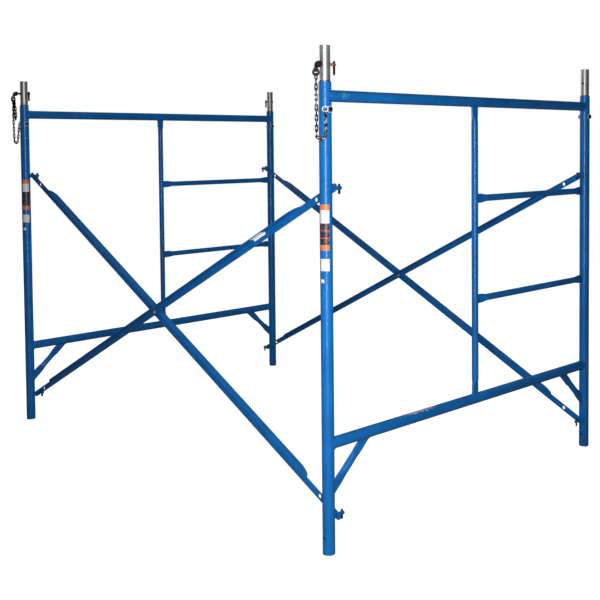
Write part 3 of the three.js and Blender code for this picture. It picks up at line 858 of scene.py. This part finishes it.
def add_eyelet(end, towards_y):
    """The eye that a chain ends in: a ring by the leg, its tab under the bolt's head or nut."""
    centre = leg_axis(end, "left") + Z_AXIS * (COUPLING_BOLT_Z + 1 * MM)
    out = Vector((-0.67, 0.742 * towards_y, 0))
    side = Vector((0.742, 0.67 * towards_y, 0))
    up = (Z_AXIS - out * 0.33).normalized()
    ring_at = centre + out * (LEG_RADIUS + 5 * MM)
    line = circle(ring_at, side, up, EYELET_RADIUS, 40)
    ring = swept("ring", line, EYELET_WIRE, 12, closed=True)
    bolt_at = centre + Y_AXIS * towards_y * (LEG_RADIUS + 1.2 * MM) - Z_AXIS * 1 * MM
    halfway = (bolt_at + ring_at + side * 8 * MM) / 2
    tab = swept("tab", smooth_path([bolt_at, halfway, ring_at + side * 8.5 * MM], 4), 2.6 * MM, 12)
    eyelet = merge(f"chain_eyelet_{end}", [ring, tab])
    # The eyelet takes the near-white plating, which is partly painted highlight.
    finish_piece(eyelet, "scaffold", "bolt_steel", PALE_ZINC_AND_HIGHLIGHT)


# ---- studs and locks


def add_stud(end, side, level):
    name = f"{level}_{end}_{side}"
    inward = X_AXIS * INWARD[side]
    z = middle(f"stud_{name}").z
    centre = leg_axis(end, side) + Z_AXIS * z
    face, tip = LEG_RADIUS, LEG_RADIUS + STUD_LENGTH
    stud = turned(f"stud_pin_{name}", centre, inward, [
        (face - 2 * MM, 10.6 * MM), (face + 0.5 * MM, 10.4 * MM), (face + 3 * MM, 9.6 * MM),
        (face + 6 * MM, 8.4 * MM), (face + 8.2 * MM, 7.0 * MM), (face + 9.4 * MM, STUD_RADIUS),
        (tip - 1.4 * MM, STUD_RADIUS), (tip - 0.5 * MM, STUD_RADIUS - 0.5 * MM),
        (tip, STUD_RADIUS - 1.5 * MM),
    ], 40)
    slot_start = centre + inward * (face + STUD_SLOT)
    cut_with(stud, slot_cutter(slot_start, centre + inward * (tip + 5 * MM), 12 * MM))
    soften(stud, 0.35 * MM, 50, 2)
    finish_piece(stud, "scaffold", "blue_paint", PAINT, f"stud_{name}")
    pivot = centre + inward * (face + LOCK_PIVOT)
    add_swinging(f"lock_plate_{name}", f"lock_{name}", pivot, *LOCK)


def slot_cutter(start, end, half_depth):
    """The cutter for a lever's slot, an upright box along X from start to end."""
    spread = Vector((0, SLOT_HALF_WIDTH, half_depth))
    a, b = start - spread, end + spread
    corners = [Vector([pick(p, q) for p, q in zip(a, b)]) for pick in (min, max)]
    ring = [(0, 0), (1, 0), (1, 1), (0, 1)]
    rings = [[Vector((corners[i].x, corners[j].y, corners[k].z)) for i, j in ring] for k in (0, 1)]
    return loft("cutter", rings)


def hanging_bar(name, pivot, above, below, top_half_width, bottom_half_width, half_thickness):
    """A flat bar with round ends in the XZ plane, its edges rounded."""
    rim = 0.5 * MM
    section = []
    ends = (
        (above - top_half_width, top_half_width, 0),
        (bottom_half_width - below, bottom_half_width, 180),
    )
    for centre_z, radius, start in ends:
        for k in range(13):
            a = math.radians(start + 180 * k / 12)
            section.append((centre_z, radius, math.cos(a), math.sin(a)))
    rings = []
    skins = (
        (-half_thickness, rim), (rim - half_thickness, 0),
        (half_thickness - rim, 0), (half_thickness, rim),
    )
    for y, inset in skins:
        rings.append([
            pivot + Vector(((radius - inset) * c, y, centre_z + (radius - inset) * d))
            for centre_z, radius, c, d in section
        ])
    return loft(name, rings)


# A flat bar that swings in a slot: hanging_bar's sizes, half the length of its rivet and one of
# the rivet's two heads, as (distance in, radius).
LOCK = (
    *mm((14, 20.5, 4.5, 5.2, 1.3)), STUD_RADIUS + 0.4 * MM,
    mm((0, 1.4), (0.3, 2.3), (1.1, 2.9), (1.5, 2.0)),
)
LEVER = (
    *mm((12, 34, 4.7, 4.4, 1.5)), TOGGLE_RADIUS + 0.5 * MM,
    mm((0, 1.2), (0.4, 2.1), (1.1, 2.3), (1.2, 1.8)),
)


def add_swinging(name, body, pivot, bar, reach, head):
    plate = hanging_bar("plate", pivot, *bar)
    profile = head + [(2 * reach - along, radius) for along, radius in reversed(head)]
    rivet = turned("rivet", pivot - Y_AXIS * reach, Y_AXIS, profile, 16)
    finish_piece(merge(name, [plate, rivet]), body, "dark_steel", DARK, body)


# ---- cross braces


def angle_bar(name, length):
    """A steel angle along Y: flat in the YZ plane from x = 0, flange out to +X at its top."""
    half = length / 2 + BRACE_END
    top, bottom = BRACE_FLAT / 2, -BRACE_FLAT / 2
    t, flange = BRACE_THICKNESS, BRACE_FLANGE
    toe, root, heel = 1.2 * MM, BRACE_ROOT, 0.5 * MM
    section = [
        (0, bottom), (t - toe, bottom), (t - 0.35 * toe, bottom + 0.35 * toe), (t, bottom + toe),
    ]
    for k in range(6):
        a = math.radians(180 - 90 * k / 5)
        section.append((t + root + root * math.cos(a), top - t - root + root * math.sin(a)))
    section += [
        (flange - toe, top - t), (flange - 0.35 * toe, top - t + 0.35 * toe),
        (flange, top - t + toe), (flange, top), (heel, top), (0.3 * heel, top - 0.3 * heel),
        (0, top - heel),
    ]
    stations = [half * k / 12 for k in range(-12, 13)]
    rings = [[Vector((x, y, z)) for x, z in section] for y in stations]
    bar = loft(name, rings[::-1])
    cutters = []
    hole_at = length / 2
    for sign in (-1, 1):
        for y in (hole_at, hole_at - BRACE_SPARE_HOLE):
            start = Vector((-5 * MM, sign * y, 0))
            cutters.append(rod("cutter", start, start + X_AXIS * 12 * MM, BRACE_HOLE_RADIUS))
        cutters.append(cope_cutter(sign, length / 2))
        cutters.append(end_cutter(sign, half))
    cut_with(bar, *cutters)
    soften(bar, 0.35 * MM, 60, 1)
    return bar


def cope_cutter(sign, hole_at):
    """What is cut from the flange near one end of a brace bar."""
    start, full = hole_at - COPE_START, hole_at - COPE_START - COPE_LENGTH
    line = [(BRACE_FLANGE + 4 * MM, full - 2 * MM), (BRACE_FLANGE, full)]
    bend = ((BRACE_FLANGE, BRACE_FLANGE * 0.75, BRACE_THICKNESS), (full, start - 8 * MM, start))
    for k in range(1, 9):
        t = k / 8
        weights = ((1 - t) ** 2, 2 * t * (1 - t), t * t)
        line.append([sum(w * p for w, p in zip(weights, places)) for places in bend])
    line += [(BRACE_THICKNESS, hole_at + 40 * MM), (BRACE_FLANGE + 4 * MM, hole_at + 40 * MM)]
    rings = [[Vector((x, sign * y, z)) for x, y in line] for z in (0.0, BRACE_FLAT)]
    if sign > 0:
        rings.reverse()
    return loft("cutter", rings)


def end_cutter(sign, half):
    """What is cut from the square end of a brace bar to leave it round."""
    radius = BRACE_FLAT / 2
    line = [(half - radius, radius + 3 * MM), (half - radius, radius)]
    for k in range(1, 17):
        a = math.radians(90 - 180 * k / 16)
        line.append((half - radius + radius * math.cos(a), radius * math.sin(a)))
    line += [
        (half - radius, -radius - 3 * MM), (half + 5 * MM, -radius - 3 * MM),
        (half + 5 * MM, radius + 3 * MM),
    ]
    rings = [[Vector((x, sign * y, z)) for y, z in line] for x in (-5 * MM, 8 * MM)]
    if sign < 0:
        rings.reverse()
    return loft("cutter", rings)


def brace_rivet(name, centre, reach):
    """A round-headed rivet through both bars, along X."""
    height, size = 3.6 * MM, 8.0 * MM
    dome = []
    for angle in (12, 30, 50, 70, 90):
        a = math.radians(angle)
        dome.append((height * (1 - math.cos(a)) - reach - height, size * math.sin(a)))
    shank = [(-reach, 4 * MM), (reach, 4 * MM)]
    profile = dome + shank + [(-along, radius) for along, radius in reversed(dome)]
    return turned(name, centre, X_AXIS, profile, 32)


def add_braces(side):
    studs_low = middle(f"stud_lower_near_{side}").z
    studs_high = middle(f"stud_upper_near_{side}").z
    near, far = leg_axis("near", side), leg_axis("far", side)
    spacing = far.y - near.y
    length = math.hypot(spacing, studs_high - studs_low)
    slope = math.atan2(studs_high - studs_low, spacing)
    face = near.x + INWARD[side] * LEG_RADIUS
    centre = Vector((face, (near.y + far.y) / 2, (studs_low + studs_high) / 2))
    side_turn = Matrix.Rotation(0 if side == "left" else math.pi, 4, "Z")
    body = f"braces_{side}"
    gap = 0.3 * MM
    for which, seat, tilt, flip in (
        ("outer", BRACE_SEAT + BRACE_THICKNESS, -slope, math.pi),
        ("inner", BRACE_SEAT + BRACE_THICKNESS + gap, slope, 0.0),
    ):
        bar = angle_bar(f"brace_bar_{which}_{side}", length)
        place = (
            Matrix.Translation(centre) @ side_turn @ Matrix.Translation((seat, 0, 0))
            @ Matrix.Rotation(tilt, 4, "X") @ Matrix.Rotation(flip, 4, "Z")
        )
        bar.data.transform(place)
        finish_piece(bar, body, "blue_paint", BRACE_PAINT, f"brace_{which}_{side}", sharp=30)
    seat = BRACE_SEAT + BRACE_THICKNESS + gap / 2
    rivet_centre = centre + side_turn @ Vector((seat, 0, 0))
    rivet = brace_rivet(f"brace_rivet_head_{side}", rivet_centre, BRACE_THICKNESS + gap / 2)
    finish_piece(rivet, body, "zinc", RIVET_ZINC, f"brace_rivet_{side}")


# ---- toggle pins


def add_shank(name, look, start, tip, slot_start, inward):
    """A toggle pin's shank, with the slot for its lever."""
    length = (tip - start).length
    shank = turned(f"toggle_shank_{name}", start, inward, [
        (0, TOGGLE_RADIUS), (length - 1.5 * MM, TOGGLE_RADIUS),
        (length - 0.4 * MM, TOGGLE_RADIUS - 0.5 * MM), (length, TOGGLE_RADIUS - 1.6 * MM),
    ], 28)
    cut_with(shank, slot_cutter(slot_start, tip + inward * 4 * MM, 9 * MM))
    finish_piece(shank, f"toggle_pin_{name}", "dark_steel", look)


def add_chained_toggle(end, pulled, shank_look):
    """A toggle pin with a hexagonal collar and an eye, its ring hanging from the eye."""
    name = f"{end}_left"
    body = f"toggle_pin_{name}"
    home = leg_axis(end, "left") + Z_AXIS * TOGGLE_Z - X_AXIS * pulled
    seat = home - X_AXIS * (COUPLING_RADIUS + TOGGLE_GAP)
    tip = home + X_AXIS * TOGGLE_TIP
    slot_start = home + X_AXIS * TOGGLE_SLOT
    add_shank(name, shank_look, seat - X_AXIS * 1 * MM, tip, slot_start, X_AXIS)

    collar = hexagon(seat, -X_AXIS, [
        (0, 8.6 * MM, 1), (0.8 * MM, 10.4 * MM, 0), (3.2 * MM, 10.4 * MM, 0),
        (3.8 * MM, 9.2 * MM, 1),
    ])
    head_outline = [
        (-20.5, 9.6), (-26, 9.4), (-33, 6.2), (-37.6, 0.5), (-38.6, -7.5), (-34.5, -13),
        (-25, -12), (-20.5, -9.6),
    ]
    rings = [[home + Vector((x, y, z)) * MM for x, z in head_outline] for y in (-8.6, 8.6)]
    block = loft("block", rings)
    soften(block, 2.0 * MM, 30, 3)
    eye_at = home + EYE
    lug = tube(
        "lug", eye_at - Y_AXIS * 3.4 * MM, eye_at + Y_AXIS * 3.4 * MM, EYE_RADIUS,
        EYE_RADIUS - EYE_HOLE_RADIUS, 40, 0.9 * MM,
    )
    head = merge(f"toggle_head_{name}", [collar, block, lug])
    finish_piece(head, body, "dark_steel", DARK, f"toggle_pin_{name}", sharp=30)
    pivot = home + X_AXIS * TOGGLE_LEVER_PIVOT
    add_swinging(f"toggle_lever_plate_{name}", f"toggle_lever_{name}", pivot, *LEVER)

    ring_at = eye_at - Z_AXIS * (RING_RADIUS + EYE_HOLE_RADIUS - RING_WIRE)
    wide = Vector((math.sin(RING_TURN), -math.cos(RING_TURN), 0))
    line = circle(ring_at, wide, Z_AXIS, RING_RADIUS, 48)
    ring = swept(f"chain_ring_steel_{name}", line, RING_WIRE, 14, closed=True)
    finish_piece(ring, body, "chain_steel", DARK, f"chain_ring_{name}")


def add_plain_toggle():
    name = "far_right"
    body = f"toggle_pin_{name}"
    home = leg_axis("far", "right") + Z_AXIS * TOGGLE_Z
    seat = home + X_AXIS * (COUPLING_RADIUS + TOGGLE_GAP)
    tip = home - X_AXIS * PLAIN_TOGGLE_TIP
    slot_start = home - X_AXIS * PLAIN_TOGGLE_SLOT
    add_shank(name, COPPER, seat + X_AXIS * 1 * MM, tip, slot_start, -X_AXIS)
    profile = mm((0, 7.2), (0.6, 8), (1.8, 7.8), (3.2, 6.2), (4.1, 3.6), (4.4, 1.2))
    head = turned(f"toggle_head_{name}", seat, X_AXIS, profile, 28)
    finish_piece(head, body, "dark_steel", DARK, f"toggle_pin_{name}")
    pivot = home - X_AXIS * PLAIN_TOGGLE_PIVOT
    add_swinging(f"toggle_lever_plate_{name}", f"toggle_lever_{name}", pivot, *LEVER)


# ---- labels

ORANGE = (0.75, 0.16, 0.03)
WHITE = (0.72, 0.74, 0.76)
BLACK = (0.02, 0.02, 0.025)
RED = (0.45, 0.05, 0.02)
LABEL_SETS = {
    "near": [
        ("warning", -62, 30, [
            (987, 1005, ORANGE), (1005, 1024, BLACK), (1024, 1029, RED), (1029, 1048, BLACK),
            (1048, 1053, RED), (1053, 1074, BLACK), (1074, 1116, WHITE), (1116, 1134, ORANGE),
        ]),
        ("notice", -62, 30, [(922, 961, WHITE)]),
        ("strip", -60, -20, [(884, 895, WHITE)]),
    ],
    "far": [
        ("warning", -50, 40, [
            (1021, 1041, ORANGE), (1041, 1108, BLACK), (1108, 1147, WHITE), (1147, 1166, ORANGE),
        ]),
        ("notice", -50, 40, [(960, 998, WHITE)]),
        ("strip", -50, -10, [(923, 936, WHITE)]),
    ],
}


def add_labels(end):
    """Thin printed labels on the left leg. Angles are measured from the camera's side."""
    axis = leg_axis(end, "left")
    facing = math.atan2(CAMERA_PLACE.y - axis.y, CAMERA_PLACE.x - axis.x)
    for name, start, stop, bands in LABEL_SETS[end]:
        bands = [(low * MM, high * MM, colour) for low, high, colour in bands]
        arc = [facing + math.radians(start + (stop - start) * k / 24) for k in range(25)]
        around = [Vector((math.cos(a), math.sin(a), 0)) for a in arc]
        section = [d * (LEG_RADIUS + LABEL_OUTSIDE) for d in around]
        section += [d * (LEG_RADIUS + LABEL_INSIDE) for d in reversed(around)]
        rings = [[axis + d + Z_AXIS * z for d in section] for z in (bands[0][0], bands[-1][1])]
        label = loft(f"label_{name}_{end}", rings)
        material = label_print(f"label_{name}_{end}_print", bands)
        finish_piece(label, "scaffold", "blue_paint", material)


def add_brace_sticker():
    """A foil sticker in the inside corner of the left outer brace, near its upper end."""
    upper, lower = middle("stud_upper_near_left"), middle("stud_lower_far_left")
    along = Vector((0, lower.y - upper.y, lower.z - upper.z)).normalized()
    up = Vector((0, -along.z, along.y))
    back = leg_axis("near", "left").x + LEG_RADIUS + BRACE_SEAT + BRACE_THICKNESS
    start = Vector((back, upper.y, upper.z)) + along * STICKER_AT
    under = BRACE_FLAT / 2 - BRACE_THICKNESS

    def skin(proud):
        """The corner's section as (out, up) pairs, from the flange's edge down to the flat."""
        bend = BRACE_ROOT - proud
        line = [(STICKER_OUTER, under - proud)]
        for k in range(6):
            a = math.radians(90 + 18 * k)
            out = BRACE_THICKNESS + BRACE_ROOT + bend * math.cos(a)
            line.append((out, under - BRACE_ROOT + bend * math.sin(a)))
        return line + [(BRACE_THICKNESS + proud, STICKER_LOW)]

    section = skin(0.01 * MM) + skin(0.01 * MM + STICKER_THICKNESS)[::-1]
    rings = []
    for k in range(9):
        at = start + along * (STICKER_LENGTH * k / 8)
        rings.append([at - X_AXIS * out + up * high for out, high in section])
    finish_piece(loft("brace_sticker_left", rings), "braces_left", "blue_paint", FOIL)


# ---- stage


def add_stage():
    """A pale floor under a pale sky, a soft light beside the camera and softer ones around."""
    corners = [(-30, -30, 0), (30, -30, 0), (30, 30, 0), (-30, 30, 0)]
    floor = raw_object("floor", corners, [(0, 1, 2, 3)])
    s = Shader("floor_pale")
    glow = s.add("ShaderNodeLightPath").outputs["Is Camera Ray"]
    s.set(
        Base_Color=(0.2, 0.2, 0.2), Roughness=0.9, Specular_IOR_Level=0.0,
        Emission_Color=(1, 1, 1), Emission_Strength=s.maths("MULTIPLY", glow, 0.985),
    )
    floor.data.materials.append(s.material)
    add_area_light("flash", (-2.0, -2.45, 1.32), (0.0, 0.0, 0.9), (0.32, 2.2), 69)
    add_area_light("overhead", (0.5, 0.5, 6.0), (0, 0, 0.6), (5, 5), 14)
    add_area_light("right", (5.0, 0.8, 3.2), (0, 0, 0.8), (4, 3.5), 140, glossy=False)
    add_area_light("back", (-0.8, 5.6, 3.2), (0, 0, 0.8), (4, 3.5), 140)
    add_world()


def add_area_light(name, place, target, size, power, glossy=True):
    data = bpy.data.lights.new(name, "AREA")
    data.shape = "ELLIPSE"
    data.size, data.size_y = size
    data.energy = power
    light = bpy.data.objects.new(name, data)
    light.location = place
    direction = Vector(target) - Vector(place)
    light.rotation_euler = direction.to_track_quat("-Z", "Y").to_euler()
    light.visible_camera = False
    light.visible_glossy = glossy
    bpy.context.scene.collection.objects.link(light)


def add_world():
    """White behind the object, dimmer as a source of light."""
    world = bpy.data.worlds.new("studio")
    world.use_nodes = True
    tree = world.node_tree
    lit, seen = tree.nodes["Background"], tree.nodes.new("ShaderNodeBackground")
    for node, colour, strength in ((lit, (0.9, 0.95, 1, 1), 0.05), (seen, (1, 1, 1, 1), 1.0)):
        node.inputs["Color"].default_value = colour
        node.inputs["Strength"].default_value = strength
    is_camera = tree.nodes.new("ShaderNodeLightPath").outputs["Is Camera Ray"]
    mix = tree.nodes.new("ShaderNodeMixShader")
    for source, socket in zip((is_camera, lit.outputs[0], seen.outputs[0]), mix.inputs):
        tree.links.new(source, socket)
    tree.links.new(mix.outputs["Shader"], tree.nodes["World Output"].inputs["Surface"])
    bpy.context.scene.world = world
    bpy.context.scene.view_settings.view_transform = "Standard"


# ---- the scene

add_camera()
for each_end in ENDS:
    add_chain(each_end)
for each_end in ENDS:
    add_end_frame(each_end)
    add_labels(each_end)
    for each_side in SIDES:
        add_coupling(each_end, each_side)
        for each_level in ("upper", "lower"):
            add_stud(each_end, each_side, each_level)
for each_side in SIDES:
    add_braces(each_side)
add_brace_sticker()
add_eyelet("near", -1)
add_eyelet("far", 1)
add_chained_toggle("near", 0, COPPER)
# The far pin's shank takes the black steel, where the near one's is rusted orange; it fills the
# gap between the pulled-out head and the coupling pin with dark.
add_chained_toggle("far", FAR_TOGGLE_PULLED, DARK)
add_plain_toggle()
add_stage()
